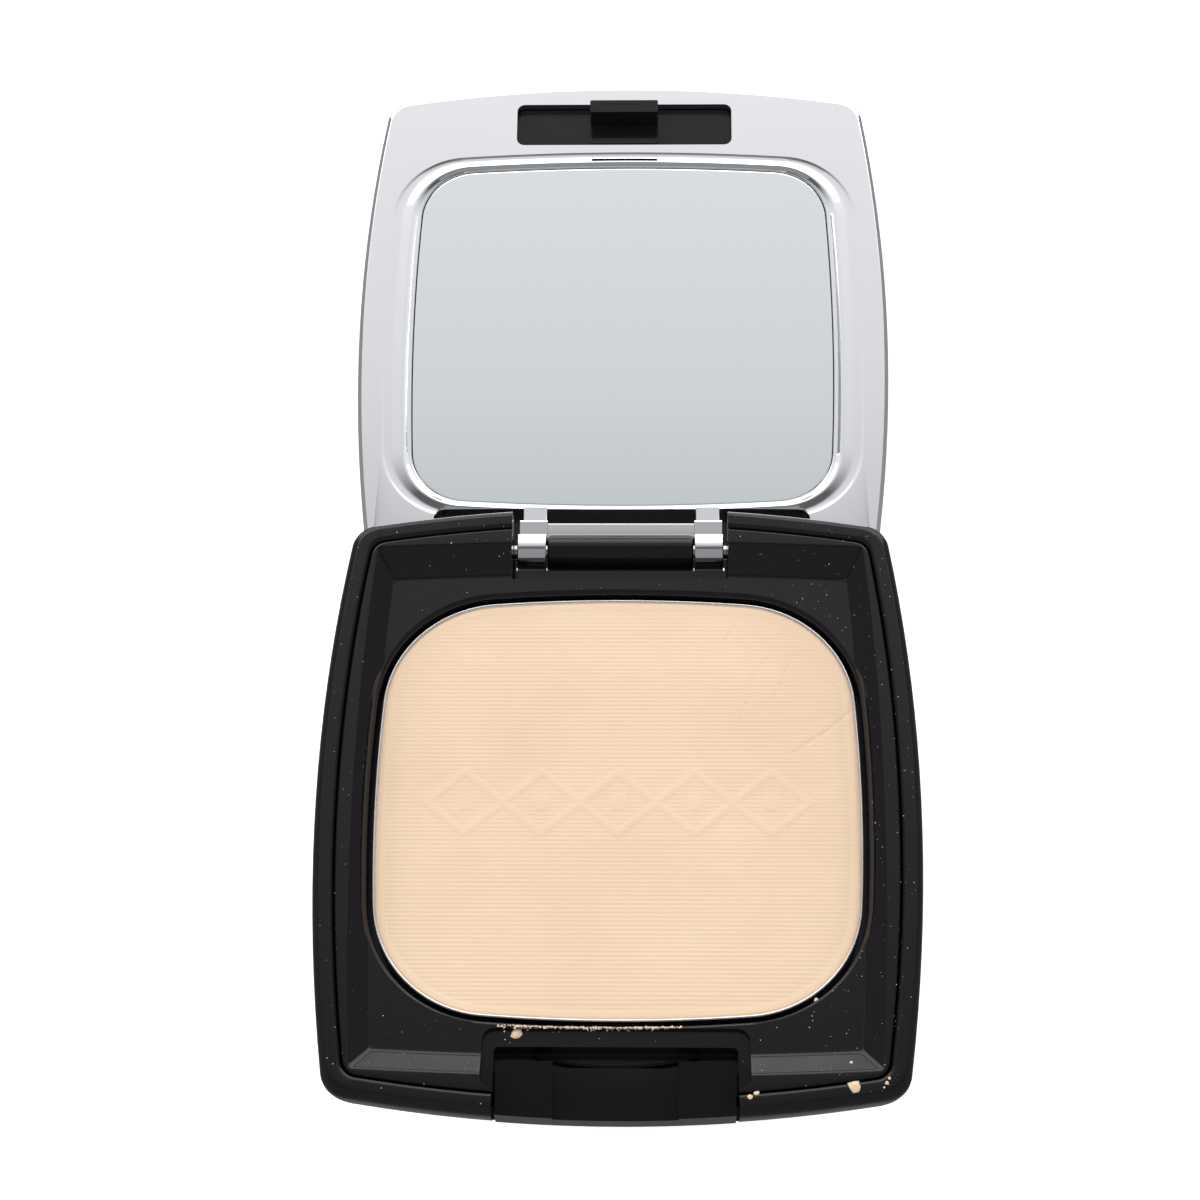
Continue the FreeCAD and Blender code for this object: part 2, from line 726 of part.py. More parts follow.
def mirror():
    body = new_body("mirror")
    lift = f"{PLATE_UNDER}+mirror_recess"
    sketch = new_sketch(body, "glass", lift=lift, shift_back="mirror_shift")
    pad(body, mirror_outline(sketch, "-mirror_fit"), "mirror_thick")
    swing_open(body)
    return body


def mirror_tape():
    body = new_body("mirror_tape")
    lift = f"{PLATE_UNDER}+mirror_recess+mirror_thick"
    sketch = new_sketch(body, "tape", lift=lift, shift_back="mirror_shift")
    box_outline(sketch, "-0.5*glue_width", "0.5*glue_width", "-0.5*glue_length", "0.5*glue_length")
    pad(body, sketch, "tape_thick")
    swing_open(body)
    return body


def catch_hook():
    body = new_body("catch_hook")
    bar = new_sketch(body, "bar", lift=f"{PLATE_TOP}-catch_bar")
    left, right = "-catch_half+bar_gap", "catch_half-bar_gap"
    box_outline(bar, left, right, "-catch_front+bar_gap", "-catch_back-bar_gap")
    pad(body, bar, "catch_bar")
    root = new_sketch(body, "root", lift="rim_height-parting_gap")
    box_outline(root, "-hook_half", "hook_half", "-hook_front", "-hook_back+hook_root")
    pad(body, root, "2*parting_gap+plate_thick-0.5*catch_bar")
    shank = new_sketch(body, "shank", lift="rim_height-hook_reach")
    box_outline(shank, "-hook_half", "hook_half", "-hook_front", "-hook_back")
    pad(body, shank, "hook_reach")
    nose = new_sketch(body, "nose", lift="rim_height-hook_reach")
    box_outline(nose, "-hook_half", "hook_half", "-hook_front-hook_nose", "-hook_front")
    pad(body, nose, "0.3*hook_reach")
    swing_open(body)
    return body


# ---------------------------------------------------------------- build, check and write
PIECES = [
    base_shell(),
    deck(),
    powder_pan(),
    pressed_powder(),
    pan_glue(),
    push_button(),
    button_spring(),
    hinge_pin(),
    lid_frame(),
    lid_cover(),
    mirror(),
    mirror_tape(),
    catch_hook(),
]
doc.recompute()

for item in doc.Objects:
    if "Invalid" in item.State or "Error" in item.State:
        raise RuntimeError(f"{item.Name} failed: {item.State}")

os.makedirs("parts", exist_ok=True)
for piece in PIECES:
    shape = piece.Shape
    if shape.isNull() or not shape.isValid():
        raise RuntimeError(f"{piece.Label} has no valid shape")
    shape.exportStep(os.path.join("parts", piece.Label + ".step"))
    print(f"{piece.Label:16s} solids {len(shape.Solids)}  volume {shape.Volume:9.1f} mm3")
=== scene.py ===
import math
import random

import bmesh
import bpy
import numpy as np
from mathutils import Matrix, Vector
from mathutils.bvhtree import BVHTree


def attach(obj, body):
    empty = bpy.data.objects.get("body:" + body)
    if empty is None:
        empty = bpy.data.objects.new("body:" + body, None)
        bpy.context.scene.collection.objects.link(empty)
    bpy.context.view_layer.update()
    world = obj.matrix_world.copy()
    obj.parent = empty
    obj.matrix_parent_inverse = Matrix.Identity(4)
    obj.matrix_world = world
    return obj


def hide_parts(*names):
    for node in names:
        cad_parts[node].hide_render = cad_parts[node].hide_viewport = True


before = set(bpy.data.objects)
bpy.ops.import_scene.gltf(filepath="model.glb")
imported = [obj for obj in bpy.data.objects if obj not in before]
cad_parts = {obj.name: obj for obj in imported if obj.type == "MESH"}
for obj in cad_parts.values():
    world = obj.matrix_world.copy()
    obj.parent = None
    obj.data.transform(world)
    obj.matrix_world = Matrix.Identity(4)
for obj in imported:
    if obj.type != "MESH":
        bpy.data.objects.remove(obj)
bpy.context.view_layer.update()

# Lengths are in millimetres in the CAD frame until a mesh is made in metres.
MM = 0.001
RIM = 15.6
AXIS = Vector((0.0, 33.4, 10.2))
OPEN_ANGLE = 176.0

# base
BASE = dict(width=67.6, length=73.6, side=212.0, end=174.0, corner=3.2)
BAND_UNDER = 14.1
BELLY_INSET = 14.0
BELLY_CORNER = 9.0
RIM_WIDTH = 2.35
DECK_TOP = 15.5
DECK_UNDER = 12.4
DECK_INSET = 2.5
FLOOR = 14.05
SLOT_HALF = 12.65
NOTCH_HALF = 13.1
NOTCH_FLOOR = 11.0
HOUSING_HALF = 14.4
TRAY_FRONT = -32.9
RECESS_BACK = -28.3
HOUSING_BACK = -26.4
BARREL_RADIUS = 2.2
KNUCKLE_INNER = 8.8
KNUCKLE_OUTER = 12.2

# powder
PAN = dict(width=54.8, length=51.0, side=190.0, end=190.0, corner=13.5)
PAN_UNDER = 10.2
PAN_TOP = 13.4
PAN_WALL = 0.35
POWDER_TOP = 13.28
RIDGE_PITCH = 0.5
RIDGE_HEIGHT = 0.030

# lid, in the closed position
PLATE_UNDER = 15.8
PLATE_TOP = 17.8
COVER_TOP = 20.8
LID_INSET = 0.45
MIRROR_FACE = 16.1
MIRROR_SHIFT = 0.4
REAR_HALF = 23.0
BEZEL = dict(width=60.4, length=52.8, side=300.0, end=300.0, corner=9.5)
GLASS = dict(width=52.9, length=48.5, side=300.0, end=300.0, corner=7.0)

ARC_STEPS = 18

# cutters reach past the object to these
FAR = 40.0
HIGH = 20.0


# ---------------------------------------------------------------- outlines
def corner_centre(side_x, end_y, side_reach, end_reach):
    """Centre of the corner arc that is tangent to a side arc and an end arc."""
    gap = math.hypot(side_x, end_y)
    along = (side_reach**2 - end_reach**2 + gap**2) / (2 * gap)
    across = math.sqrt(side_reach**2 - along**2)
    along_x, along_y = -side_x / gap, end_y / gap
    x = side_x + along * along_x - across * along_y
    y = along * along_y + across * along_x
    if x > 0 and y > 0:
        return x, y
    return side_x + along * along_x + across * along_y, along * along_y - across * along_x


def barrel(width, length, side, end, corner, shift=0.0):
    """Points anticlockwise round a bulged rectangle, as many for every size."""
    side_x = width / 2 - side
    end_y = length / 2 - end
    x, y = corner_centre(side_x, end_y, side - corner, end - corner)
    a = math.atan2(y, x - side_x)
    b = math.atan2(y - end_y, x)
    turn = math.pi
    arcs = [
        (side_x, 0, side, -a, a),
        (x, y, corner, a, b),
        (0, end_y, end, b, turn - b),
        (-x, y, corner, turn - b, turn - a),
        (-side_x, 0, side, turn - a, turn + a),
        (-x, -y, corner, turn + a, turn + b),
        (0, -end_y, end, turn + b, 2 * turn - b),
        (x, -y, corner, 2 * turn - b, 2 * turn - a),
    ]
    points = []
    for centre_x, centre_y, radius, start, stop in arcs:
        for step in range(ARC_STEPS):
            angle = start + (stop - start) * step / ARC_STEPS
            points.append((
                centre_x + radius * math.cos(angle),
                centre_y + radius * math.sin(angle) + shift,
            ))
    return points


def moved_in(shape, inset, corner=None, shift=0.0):
    """A barrel outline moved in by inset, or out where inset is negative."""
    return barrel(
        shape["width"] - 2 * inset,
        shape["length"] - 2 * inset,
        shape["side"] - inset,
        shape["end"] - inset,
        max(shape["corner"] - inset, 0.3) if corner is None else corner,
        shift,
    )


def between(first, second, share, shift=0.0):
    """An outline part of the way from one barrel shape to another."""
    mixed = {key: first[key] + share * (second[key] - first[key]) for key in first}
    return barrel(**mixed, shift=shift)


def rounded_box(left, right, low, high, corner, steps=5):
    """Points anticlockwise round a rectangle with round corners."""
    points = []
    spots = [
        (right - corner, high - corner, 0.0),
        (left + corner, high - corner, 0.5),
        (left + corner, low + corner, 1.0),
        (right - corner, low + corner, 1.5),
    ]
    for x, y, start in spots:
        for step in range(steps + 1):
            angle = math.pi * (start + 0.5 * step / steps)
            points.append((x + corner * math.cos(angle), y + corner * math.sin(angle)))
    return points


# ---------------------------------------------------------------- meshes
def new_piece(name, vertices, faces):
    mesh = bpy.data.meshes.new(name)
    mesh.from_pydata([tuple(MM * c for c in vertex) for vertex in vertices], [], faces)
    shape = bmesh.new()
    shape.from_mesh(mesh)
    bmesh.ops.remove_doubles(shape, verts=shape.verts, dist=1e-7)
    bmesh.ops.recalc_face_normals(shape, faces=shape.faces)
    shape.to_mesh(mesh)
    shape.free()
    piece = bpy.data.objects.new(name, mesh)
    bpy.context.scene.collection.objects.link(piece)
    return piece


def stacked(name, levels):
    """A closed solid through outlines of equal point count: (outline, z) from end to end."""
    vertices = [(x, y, z) for outline, z in levels for x, y in outline]
    count = len(levels[0][0])
    faces = []
    for level in range(len(levels) - 1):
        for i in range(count):
            a = level * count + i
            b = level * count + (i + 1) % count
            faces.append((a, b, b + count, a + count))
    faces.append(tuple(reversed(range(count))))
    faces.append(tuple(range(len(vertices) - count, len(vertices))))
    return new_piece(name, vertices, faces)


def slab(name, outline, low, high):
    return stacked(name, [(outline, low), (outline, high)])


def along_x(name, profile, left, right):
    """A profile of (y, z) points run from left to right."""
    count = len(profile)
    vertices = [(x, y, z) for x in (left, right) for y, z in profile]
    faces = [(i, (i + 1) % count, (i + 1) % count + count, i + count) for i in range(count)]
    faces.append(tuple(reversed(range(count))))
    faces.append(tuple(range(count, 2 * count)))
    return new_piece(name, vertices, faces)


def settle(piece):
    """Turns the modifiers into plain mesh."""
    bpy.context.view_layer.update()
    shown = piece.evaluated_get(bpy.context.evaluated_depsgraph_get())
    mesh = bpy.data.meshes.new_from_object(shown)
    piece.modifiers.clear()
    piece.data = mesh


def carve(piece, cutters, operation="DIFFERENCE"):
    for cutter in cutters:
        cut = piece.modifiers.new("cut", "BOOLEAN")
        cut.operation = operation
        cut.solver = "EXACT"
        cut.object = cutter
        settle(piece)
        bpy.data.objects.remove(cutter)


def soften(piece, width, angle=38.0, segments=2):
    """Rounds the sharp edges a little and shades the rest smooth."""
    if width:
        bevel = piece.modifiers.new("soft_edges", "BEVEL")
        bevel.width = width * MM
        bevel.segments = segments
        bevel.limit_method = "ANGLE"
        bevel.angle_limit = math.radians(angle)
        bevel.use_clamp_overlap = True
        settle(piece)
    piece.data.polygons.foreach_set("use_smooth", [True] * len(piece.data.polygons))
    piece.data.set_sharp_from_angle(angle=math.radians(angle))
    weigh = piece.modifiers.new("even_shading", "WEIGHTED_NORMAL")
    weigh.keep_sharp = True
    settle(piece)


def swing_open(piece):
    """Turns a lid piece, built closed, to the open rest position."""
    pivot = Matrix.Translation(AXIS * MM)
    turn = Matrix.Rotation(math.radians(-OPEN_ANGLE), 4, "X")
    piece.data.transform(pivot @ turn @ pivot.inverted())


def finish_piece(piece, body, material, nodes=()):
    if body == "lid":
        swing_open(piece)
    piece.data.materials.clear()
    piece.data.materials.append(material)
    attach(piece, body)
    if nodes:
        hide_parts(*nodes)
    return piece


# ---------------------------------------------------------------- materials
def new_material(name, **sockets):
    material = bpy.data.materials.new(name)
    material.use_nodes = True
    shader = material.node_tree.nodes["Principled BSDF"]
    for socket, setting in sockets.items():
        shader.inputs[socket.replace("_", " ")].default_value = setting
    return material


def add_node(material, kind, **settings):
    node = material.node_tree.nodes.new(kind)
    for key, setting in settings.items():
        if key in node.inputs:
            node.inputs[key].default_value = setting
        else:
            setattr(node, key, setting)
    return node


def link(material, source, target):
    material.node_tree.links.new(source, target)


def object_noise(material, scale, detail=3.0):
    """Noise fixed to the object, scale in features per metre."""
    place = add_node(material, "ShaderNodeTexCoord")
    noise = add_node(material, "ShaderNodeTexNoise", Scale=scale, Detail=detail)
    link(material, place.outputs["Object"], noise.inputs["Vector"])
    return noise.outputs["Fac"]


def spread(material, source, low, high, to_low, to_high):
    """Maps a value from one range to another, held at the ends."""
    ramp = add_node(material, "ShaderNodeMapRange")
    for socket, setting in (("From Min", low), ("From Max", high), ("To Min", to_low), ("To Max", to_high)):
        ramp.inputs[socket].default_value = setting
    link(material, source, ramp.inputs["Value"])
    return ramp.outputs["Result"]


def roughen(material, scale, low, high):
    shader = material.node_tree.nodes["Principled BSDF"]
    patches = object_noise(material, scale)
    link(material, spread(material, patches, 0.35, 0.65, low, high), shader.inputs["Roughness"])


def add_bump(material, height, distance, strength=1.0):
    shader = material.node_tree.nodes["Principled BSDF"]
    bump = add_node(material, "ShaderNodeBump", Strength=strength, Distance=distance)
    link(material, height, bump.inputs["Height"])
    link(material, bump.outputs["Normal"], shader.inputs["Normal"])


def two_tone(material, source, low, high, dark, light):
    """Colour that goes from dark to light as source goes from low to high."""
    shader = material.node_tree.nodes["Principled BSDF"]
    ramp = add_node(material, "ShaderNodeValToRGB")
    ramp.color_ramp.elements[0].position = low
    ramp.color_ramp.elements[0].color = (*dark, 1.0)
    ramp.color_ramp.elements[1].position = high
    ramp.color_ramp.elements[1].color = (*light, 1.0)
    link(material, source, ramp.inputs["Fac"])
    link(material, ramp.outputs["Color"], shader.inputs["Base Color"])


def black_gloss():
    material = new_material("black_gloss_plastic", IOR=1.46, Specular_IOR_Level=0.40)
    fine = object_noise(material, 9000.0, 2.0)
    two_tone(material, fine, 0.70, 0.80, (0.0065, 0.0055, 0.0065), (0.055, 0.053, 0.050))
    roughen(material, 160.0, 0.10, 0.17)
    return material


def black_satin():
    material = new_material(
        "black_satin_plastic",
        Base_Color=(0.004, 0.004, 0.004, 1.0),
        Specular_IOR_Level=0.10,
    )
    roughen(material, 300.0, 0.38, 0.48)
    return material


def chrome():
    material = new_material(
        "bright_chrome_plate",
        Base_Color=(0.93, 0.93, 0.945, 1.0),
        Metallic=1.0,
    )
    roughen(material, 90.0, 0.035, 0.075)
    add_bump(material, object_noise(material, 70.0, 1.0), 0.00004, 0.12)
    return material


def mirror_glass():
    material = new_material(
        "mirror_glass",
        Base_Color=(0.85, 0.885, 0.905, 1.0),
        Metallic=1.0,
    )
    roughen(material, 60.0, 0.01, 0.03)
    return material


def tinplate():
    material = new_material(
        "bright_tinplate",
        Base_Color=(0.90, 0.87, 0.85, 1.0),
        Metallic=1.0,
    )
    roughen(material, 400.0, 0.22, 0.34)
    return material


def steel():
    material = new_material(
        "polished_steel",
        Base_Color=(0.62, 0.61, 0.60, 1.0),
        Metallic=1.0,
    )
    roughen(material, 600.0, 0.16, 0.26)
    return material


def adhesive():
    material = new_material("clear_adhesive", Base_Color=(0.72, 0.66, 0.52, 1.0))
    roughen(material, 500.0, 0.42, 0.60)
    return material


def cross_hatch(material):
    """Fine upright lines that fade in towards the left and right edges."""
    place = add_node(material, "ShaderNodeTexCoord")
    split = add_node(material, "ShaderNodeSeparateXYZ")
    link(material, place.outputs["Object"], split.inputs["Vector"])
    wave = add_node(material, "ShaderNodeMath", operation="SINE")
    turns = add_node(material, "ShaderNodeMath", operation="MULTIPLY")
    turns.inputs[1].default_value = 2 * math.pi / (RIDGE_PITCH * MM)
    link(material, split.outputs["X"], turns.inputs[0])
    link(material, turns.outputs[0], wave.inputs[0])
    side = add_node(material, "ShaderNodeMath", operation="ABSOLUTE")
    link(material, split.outputs["X"], side.inputs[0])
    fade = spread(material, side.outputs[0], 0.015, 0.023, 0.0, 1.0)
    faded = add_node(material, "ShaderNodeMath", operation="MULTIPLY")
    link(material, wave.outputs[0], faded.inputs[0])
    link(material, fade, faded.inputs[1])
    grain = object_noise(material, 5200.0, 4.0)
    both = add_node(material, "ShaderNodeMath", operation="MULTIPLY_ADD")
    both.inputs[1].default_value = 0.35
    link(material, faded.outputs[0], both.inputs[0])
    link(material, grain, both.inputs[2])
    return both.outputs[0]


def powder(name, hatch):
    material = new_material(name, Roughness=0.86, Sheen_Weight=0.12, Specular_IOR_Level=0.18)
    blotches = object_noise(material, 70.0, 5.0)
    two_tone(material, blotches, 0.30, 0.70, (0.775, 0.580, 0.408), (0.815, 0.618, 0.446))
    height = cross_hatch(material) if hatch else object_noise(material, 5200.0, 4.0)
    add_bump(material, height, 0.00004, 0.35)
    return material


def dust():
    material = new_material("pale_dust", Roughness=0.8)
    two_tone(material, object_noise(material, 900.0), 0.35, 0.65, (0.30, 0.27, 0.24), (0.62, 0.58, 0.52))
    return material


BLACK = black_gloss()
SATIN = black_satin()
CHROME = chrome()
GLASS_MIRROR = mirror_glass()
TIN = tinplate()
STEEL = steel()
GLUE = adhesive()
POWDER = powder("pressed_powder", True)
CRUMB = powder("powder_crumb", False)
DUST = dust()


# ---------------------------------------------------------------- base
def base_outline(inset):
    return moved_in(BASE, inset, max(BASE["corner"] - 0.5 * inset, 1.2))


def quarter(count, radius):
    """(inward, upward) steps of a convex quarter circle that starts upright."""
    for step in range(count + 1):
        angle = 0.5 * math.pi * step / count
        yield radius * (1 - math.cos(angle)), radius * math.sin(angle)


def belly_levels(wall=0.0, first=0.0, last=1.0, count=16):
    """The pillow-shaped belly from the table up to the rim band."""
    for step in range(count + 1):
        share = first + (last - first) * step / count
        rest = 1 - share
        corner = share * BASE["corner"] + rest * BELLY_CORNER
        outline = moved_in(BASE, BELLY_INSET * rest**2 + wall, corner)
        yield outline, share * BAND_UNDER


def base_shell():
    """The cup: label recess, belly, rim band, rounded crown and hollow inside."""
    label_inset, label_depth = 17.4, 0.25
    levels = [
        (moved_in(BASE, label_inset, BELLY_CORNER), label_depth),
        (moved_in(BASE, label_inset - 0.2, BELLY_CORNER), 0.0),
    ]
    levels += list(belly_levels())
    crown = 0.95
    levels += [(base_outline(i), RIM - crown + up) for i, up in quarter(7, crown)]
    inner = 0.5
    edge = RIM_WIDTH - inner
    for step in range(6):
        angle = 0.5 * math.pi * step / 5
        inward = edge + inner * math.sin(angle)
        levels.append((base_outline(inward), RIM - inner * (1 - math.cos(angle))))
    levels.append((base_outline(RIM_WIDTH), DECK_UNDER))
    hollow = list(belly_levels(wall=1.5, first=0.12, last=0.82, count=8))
    levels += reversed(hollow)
    piece = stacked("base_shell_body", levels)
    slot_front, slot_floor = 27.0, 4.5
    slot = slab("slot", rounded_box(-SLOT_HALF, SLOT_HALF, slot_front, FAR, 0.3), slot_floor, HIGH)
    notch_outline = rounded_box(-NOTCH_HALF, NOTCH_HALF, -FAR, TRAY_FRONT, 0.3)
    notch = slab("notch", notch_outline, NOTCH_FLOOR, HIGH)
    carve(piece, [slot, notch])
    soften(piece, 0.10)
    return finish_piece(piece, "base", BLACK, ["base_shell"])


def well_cutter():
    """The pan's well with a softly flared lip."""
    flare = [
        (0.5, 10.0), (0.5, 13.25), (0.56, 13.5), (0.70, 13.72),
        (0.92, 13.9), (1.10, 14.3), (1.22, 14.9), (1.30, 16.5),
    ]
    return stacked("well", [(moved_in(PAN, -out), z) for out, z in flare])


def slope_drop(share):
    """Share of the drop down the sloped frame: straight, then a soft foot."""
    foot = 0.84
    steep = 1 / (0.5 + 0.5 * foot)
    if share < foot:
        return steep * share
    run = share - foot
    return steep * (share - 0.5 * run * run / (1 - foot))


def deck():
    frame_rim = dict(width=59.4, length=64.2, side=380.0, end=520.0, corner=0.6)
    frame_floor = dict(width=54.4, length=57.4, side=380.0, end=520.0, corner=0.6)
    floor_shift = -0.6
    edge = 0.3
    tub_margin, tub_under = 1.7, 8.8
    levels = [
        (moved_in(PAN, -tub_margin), tub_under),
        (moved_in(PAN, -tub_margin), DECK_UNDER),
        (base_outline(DECK_INSET), DECK_UNDER),
    ]
    levels += [(base_outline(DECK_INSET + i), DECK_TOP - edge + up) for i, up in quarter(4, edge)]
    levels.append((moved_in(frame_rim, -0.10), DECK_TOP))
    levels.append((moved_in(frame_rim, 0.0, frame_rim["corner"]), DECK_TOP - 0.03))
    slope_steps = 20
    for step in range(1, slope_steps + 1):
        share = step / slope_steps
        outline = between(frame_rim, frame_floor, share, floor_shift * share)
        levels.append((outline, DECK_TOP - (DECK_TOP - FLOOR) * slope_drop(share)))
    piece = stacked("deck_body", levels)
    slot_front, slot_floor = 27.8, 4.0
    housing_front, housing_floor = -33.3, 13.4
    slot = slab("slot", rounded_box(-SLOT_HALF, SLOT_HALF, slot_front, FAR, 0.35), slot_floor, HIGH)
    housing_outline = rounded_box(-HOUSING_HALF, HOUSING_HALF, housing_front, HOUSING_BACK, 1.4)
    housing = slab("housing", housing_outline, housing_floor, HIGH)
    recess_outline = rounded_box(-NOTCH_HALF, NOTCH_HALF, -FAR, RECESS_BACK, 0.5)
    recess = slab("recess", recess_outline, NOTCH_FLOOR, HIGH)
    carve(piece, [well_cutter(), slot, housing, recess])
    soften(piece, 0.12)
    return finish_piece(piece, "base", BLACK, ["deck"])


def catch_tray():
    """The floor and walls under the push button."""
    half, under = 15.6, 9.8
    piece = slab("catch_tray", rounded_box(-half, half, TRAY_FRONT, HOUSING_BACK, 0.6), under, DECK_UNDER)
    inside_outline = rounded_box(-NOTCH_HALF, NOTCH_HALF, -FAR, RECESS_BACK, 0.5)
    carve(piece, [slab("inside", inside_outline, NOTCH_FLOOR, HIGH)])
    soften(piece, 0.1)
    return finish_piece(piece, "base", BLACK)


def hinge_barrel():
    """The base's middle knuckle with rounded ends, and the web, apron and posts in its slot."""
    half, end_round, end_fall, sides = 8.65, 0.5, 0.275, 40
    stations = []
    for out in (0.0, 0.2, 0.35, 0.45, 0.5):
        fall = end_fall * (1 - math.cos(math.asin(out / end_round)))
        stations.append((half - end_round + out, BARREL_RADIUS - fall))
    stations = [(-x, radius) for x, radius in reversed(stations)] + stations
    vertices = []
    for x, radius in stations:
        for step in range(sides):
            angle = 2 * math.pi * step / sides
            vertices.append((x, AXIS.y + radius * math.cos(angle), AXIS.z + radius * math.sin(angle)))
    faces = []
    for level in range(len(stations) - 1):
        for i in range(sides):
            a = level * sides + i
            b = level * sides + (i + 1) % sides
            faces.append((a, b, b + sides, a + sides))
    faces.append(tuple(reversed(range(sides))))
    faces.append(tuple(range(len(vertices) - sides, len(vertices))))
    piece = new_piece("hinge_barrel", vertices, faces)
    web = slab("web", rounded_box(-half, half, 26.6, AXIS.y, 0.2), 8.0, 10.2)
    wide = SLOT_HALF - 0.01
    apron = slab("apron", rounded_box(-wide, wide, 26.3, 30.95, 0.05), 7.95, 10.15)
    post_inner, post_front, post_back = wide - 0.3, 26.4, 32.4
    post_right = slab("post_right", rounded_box(post_inner, wide, post_front, post_back, 0.05), 7.96, 10.14)
    post_left = slab("post_left", rounded_box(-wide, -post_inner, post_front, post_back, 0.05), 7.96, 10.14)
    carve(piece, [web, apron, post_right, post_left], "UNION")
    soften(piece, 0.08)
    return finish_piece(piece, "base", BLACK)


def powder_pan():
    lip = PAN_WALL / 2
    levels = [
        (moved_in(PAN, 0.5), PAN_UNDER),
        (moved_in(PAN, 0.12), PAN_UNDER + 0.15),
        (moved_in(PAN, 0.0), PAN_UNDER + 0.5),
        (moved_in(PAN, 0.0), PAN_TOP - lip),
    ]
    for step in range(1, 6):
        angle = math.pi * step / 5
        levels.append((moved_in(PAN, lip * (1 - math.cos(angle))), PAN_TOP - lip + lip * math.sin(angle)))
    levels.append((moved_in(PAN, PAN_WALL), PAN_UNDER + PAN_WALL))
    piece = stacked("powder_pan_tray", levels)
    soften(piece, 0.0)
    return finish_piece(piece, "base", TIN, ["powder_pan"])


# ---------------------------------------------------------------- powder cake
def edge_depth(shape, x, y):
    """How far points lie inside a barrel outline."""
    side_x = shape["width"] / 2 - shape["side"]
    end_y = shape["length"] / 2 - shape["end"]
    reach = (shape["side"] - shape["corner"], shape["end"] - shape["corner"])
    corner_x, corner_y = corner_centre(side_x, end_y, *reach)
    x, y = np.abs(x), np.abs(y)
    depth = np.minimum(
        shape["side"] - np.hypot(x - side_x, y),
        shape["end"] - np.hypot(x, y - end_y),
    )
    at_corner = (x > corner_x) & (y > corner_y)
    round_depth = shape["corner"] - np.hypot(x - corner_x, y - corner_y)
    return np.where(at_corner, np.minimum(depth, round_depth), depth)


def half_width(shape, y):
    """The outline's half width at a height y, found by halving."""
    low, high = 0.0, shape["width"] / 2
    for _ in range(30):
        middle = (low + high) / 2
        inside = edge_depth(shape, np.array(middle), np.array(y)) > 0
        low, high = (middle, high) if inside else (low, middle)
    return low


def ease(x, low, high):
    share = np.clip((x - low) / (high - low), 0.0, 1.0)
    return share * share * (3 - 2 * share)


def segment_distance(x, y, start, stop):
    run_x, run_y = stop[0] - start[0], stop[1] - start[1]
    square = run_x**2 + run_y**2
    share = np.clip(((x - start[0]) * run_x + (y - start[1]) * run_y) / square, 0.0, 1.0)
    return np.hypot(x - start[0] - share * run_x, y - start[1] - share * run_y)


def ornament(x, y):
    """A chain of lozenges with a dot in each: 1 on the raised lines, 0 off them."""
    centre_y, half_high, pitch, stroke = 0.0, 3.7, 8.6, 0.42
    raised = np.zeros_like(x)
    for place in range(-2, 3):
        centre_x = place * pitch
        across = np.abs(x - centre_x) / (0.5 * pitch) + np.abs(y - centre_y) / half_high
        slant = math.hypot(1 / (0.5 * pitch), 1 / half_high)
        line = np.abs(across - 1.0) / slant
        dot = np.hypot(x - centre_x, y - centre_y) - 0.55
        raised = np.maximum(raised, 1 - ease(np.minimum(line, dot), stroke * 0.55, stroke * 1.35))
    return raised


CRACKS = [
    [(12.2, 20.3), (14.0, 23.2)],
    [(13.6, 9.8), (14.6, 12.2), (15.3, 15.3), (16.9, 18.0)],
    [(17.0, 11.6), (18.6, 14.8), (19.9, 18.3)],
    [(20.9, 7.2), (23.4, 8.6), (26.3, 11.2)],
    [(19.6, 6.0), (22.2, 7.7)],
]


def cake_heights(x, y, depth):
    """Ridges and ornament, less the border groove, the worn edge, a slow wave and the cracks."""
    art = ornament(x, y)
    ridged = ease(depth, 0.85, 1.15) * (1 - art)
    z = POWDER_TOP - 0.02 + RIDGE_HEIGHT * ridged * np.sin(2 * math.pi * y / RIDGE_PITCH)
    z += 0.075 * art
    z -= 0.05 * ease(depth, 0.75, 1.05) * (1 - ease(depth, 1.05, 2.4))
    z -= 0.10 * (1 - ease(depth, 0.0, 0.28))
    z -= 0.03 * np.sin(0.11 * x + 0.9) * np.cos(0.13 * y)
    for crack in CRACKS:
        for start, stop in zip(crack, crack[1:]):
            z -= 0.09 * (1 - ease(segment_distance(x, y, start, stop), 0.02, 0.22))
    return z


